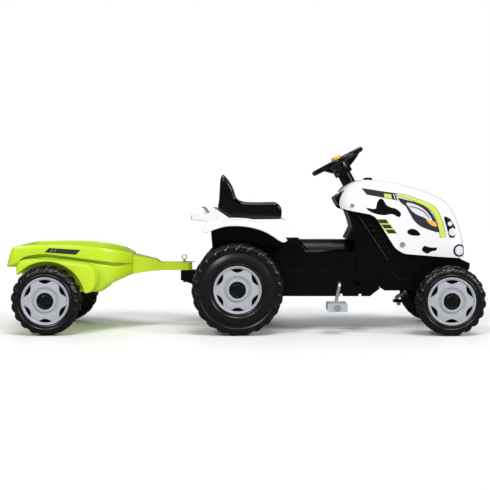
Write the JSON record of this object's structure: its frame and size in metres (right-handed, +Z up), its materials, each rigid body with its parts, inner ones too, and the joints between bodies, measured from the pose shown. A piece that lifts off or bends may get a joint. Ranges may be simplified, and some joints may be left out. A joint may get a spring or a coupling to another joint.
{
  "type": "pedal tractor with trailer",
  "caption": "Child's ride-on pedal tractor with chain drive, kingpin steering, seat, hood, and a pinned trailer with an open tub",
  "frame": {"origin": "bottom centre of the whole bounding box, on the floor under the tyres", "axes": "+X points forwards, +Y to the driver's left, +Z up"},
  "size_m": [1.426, 0.44, 0.562],
  "materials": {
    "black": "satin moulded polypropylene",
    "tyre": "blow-moulded black plastic tyre",
    "grey": "light grey moulded plastic",
    "white": "glossy white moulding with printed film",
    "lime": "lime-green moulded plastic",
    "yellow": "yellow moulded button",
    "lens": "silvered lamp faces",
    "steel": "zinc-plated steel"
  },
  "bodies": {
    "tractor": {"main_frame": "black", "drive_case": "black", "front_console": "black", "engine_panels": "black", "front_bumper": "black", "hitch_bracket": "black", "rear_cover": "white", "seat": "black", "hood": "white", "lamp_housings": "black", "lamp_lenses": "lens", "filler_cap": "black", "hood_screws": "steel", "column_sleeve": "black", "column_bushes": "black", "drive_bushes": "black", "front_axle_beam": "black", "kingpins": "steel", "drive_chain": "steel"},
    "steering": {"steering_wheel": "black", "steering_rod": "steel", "horn_spring": "steel"},
    "horn": {"horn_button": "yellow"},
    "tie": {"tie_bar": "black"},
    "knuckle_l": {"knuckle_left": "black", "stub_axle_left": "steel"},
    "knuckle_r": {"knuckle_right": "black", "stub_axle_right": "steel"},
    "wheel_fl": {"front_left_tyre": "tyre", "front_left_hubcap": "grey", "front_left_cap": "black"},
    "wheel_fr": {"front_right_tyre": "tyre", "front_right_hubcap": "grey", "front_right_cap": "black"},
    "drive_axle": {"rear_axle": "steel", "axle_sprocket": "steel", "rear_left_tyre": "tyre", "rear_left_hubcap": "grey", "rear_left_cap": "black"},
    "wheel_rr": {"rear_right_tyre": "tyre", "rear_right_hubcap": "grey", "rear_right_cap": "black"},
    "crank": {"crank_rod": "steel", "crank_sprocket": "steel"},
    "pedal_l": {"pedal_left": "grey"},
    "pedal_r": {"pedal_right": "grey"},
    "pin": {"hitch_pin": "steel"},
    "trailer": {"trailer_tub": "lime", "drawbar": "lime", "axle_brackets": "black", "trailer_axle": "steel"},
    "wheel_tl": {"trailer_left_tyre": "tyre", "trailer_left_hubcap": "grey", "trailer_left_cap": "black"},
    "wheel_tr": {"trailer_right_tyre": "tyre", "trailer_right_hubcap": "grey", "trailer_right_cap": "black"}
  },
  "joints": [
    {"name": "steering_turn", "type": "hinge", "parent": "tractor", "child": "steering", "pos_m": [0.289, 0, 0.517], "axis": [-0.4695, 0, 0.8829], "range_deg": [-40, 40]},
    {"name": "horn_press", "type": "slide", "parent": "steering", "child": "horn", "axis": [-0.4695, 0, 0.8829], "range_m": [-0.003, 0], "stiffness_N_per_m": 400, "springref_m": 0.0005, "deforming": ["horn_spring"]},
    {"name": "tie_shift", "type": "slide", "parent": "tractor", "child": "tie", "axis": [0, 1, 0], "range_m": [-0.0245, 0.0245]},
    {"name": "kingpin_left", "type": "hinge", "parent": "tractor", "child": "knuckle_l", "pos_m": [0.61, 0.128, 0.103], "axis": [0, 0, 1], "range_deg": [-24, 24]},
    {"name": "kingpin_right", "type": "hinge", "parent": "tractor", "child": "knuckle_r", "pos_m": [0.61, -0.128, 0.103], "axis": [0, 0, 1], "range_deg": [-24, 24]},
    {"name": "front_left_spin", "type": "hinge", "parent": "knuckle_l", "child": "wheel_fl", "pos_m": [0.61, 0.19, 0.103], "axis": [0, 1, 0], "continuous": true},
    {"name": "front_right_spin", "type": "hinge", "parent": "knuckle_r", "child": "wheel_fr", "pos_m": [0.61, -0.19, 0.103], "axis": [0, 1, 0], "continuous": true},
    {"name": "rear_axle_spin", "type": "hinge", "parent": "tractor", "child": "drive_axle", "pos_m": [-0.018, 0, 0.136], "axis": [0, 1, 0], "continuous": true},
    {"name": "rear_right_spin", "type": "hinge", "parent": "drive_axle", "child": "wheel_rr", "pos_m": [-0.018, -0.184, 0.136], "axis": [0, 1, 0], "continuous": true},
    {"name": "crank_spin", "type": "hinge", "parent": "tractor", "child": "crank", "pos_m": [0.289, 0, 0.145], "axis": [0, 1, 0], "continuous": true},
    {"name": "pedal_left_spin", "type": "hinge", "parent": "crank", "child": "pedal_l", "pos_m": [0.30156, 0.13, 0.20674], "axis": [0, 1, 0], "continuous": true},
    {"name": "pedal_right_spin", "type": "hinge", "parent": "crank", "child": "pedal_r", "pos_m": [0.27643, -0.13, 0.08327], "axis": [0, 1, 0], "continuous": true},
    {"name": "hitch_pin_lift", "type": "slide", "parent": "tractor", "child": "pin", "axis": [0, 0, 1], "range_m": [0, 0.075]},
    {"name": "trailer_yaw", "type": "hinge", "parent": "tractor", "child": "trailer", "pos_m": [-0.186, 0, 0.181], "axis": [0, 0, 1], "range_deg": [-60, 60]},
    {"name": "trailer_left_spin", "type": "hinge", "parent": "trailer", "child": "wheel_tl", "pos_m": [-0.583, 0.19, 0.103], "axis": [0, 1, 0], "continuous": true},
    {"name": "trailer_right_spin", "type": "hinge", "parent": "trailer", "child": "wheel_tr", "pos_m": [-0.583, -0.19, 0.103], "axis": [0, 1, 0], "continuous": true}
  ],
  "couplings": [
    {"joint": "kingpin_left", "follows": "steering_turn", "ratio": 0.6},
    {"joint": "kingpin_right", "follows": "steering_turn", "ratio": 0.6},
    {"joint": "tie_shift", "follows": "steering_turn", "m_per_rad": -0.0351},
    {"joint": "crank_spin", "follows": "rear_axle_spin", "ratio": 0.8}
  ]
}
